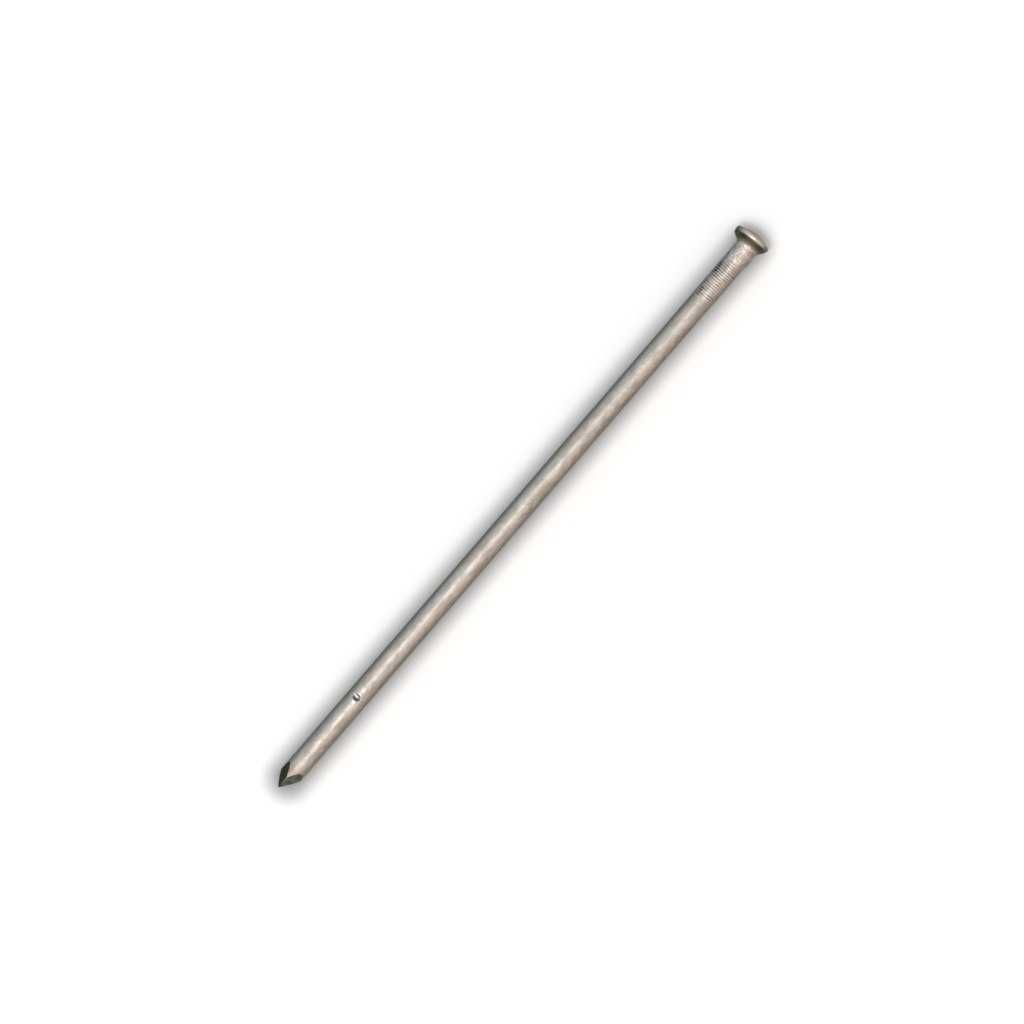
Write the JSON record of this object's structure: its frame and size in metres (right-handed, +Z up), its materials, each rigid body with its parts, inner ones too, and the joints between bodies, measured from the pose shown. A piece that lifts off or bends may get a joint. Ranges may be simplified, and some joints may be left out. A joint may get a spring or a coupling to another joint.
{
  "type": "timber spike",
  "caption": "Long round steel spike with an upset head, gripper rings below it and a pinched four-sided point, driven through timbers or into a pilot hole to pin them.",
  "frame": {"origin": "on the shank's axis, where the underside of the head meets the shank", "axes": "+X along the shank from the head to the point; +Z up as the spike lies, through the side with the feed nick; +Y completes the right-handed frame"},
  "size_m": [0.3048, 0.0163, 0.0164],
  "materials": {
    "bright_steel": "uncoated drawn wire, tumbled, lightly toned by age and handling"
  },
  "bodies": {
    "root": {"spike": "bright_steel"}
  },
  "joints": []
}
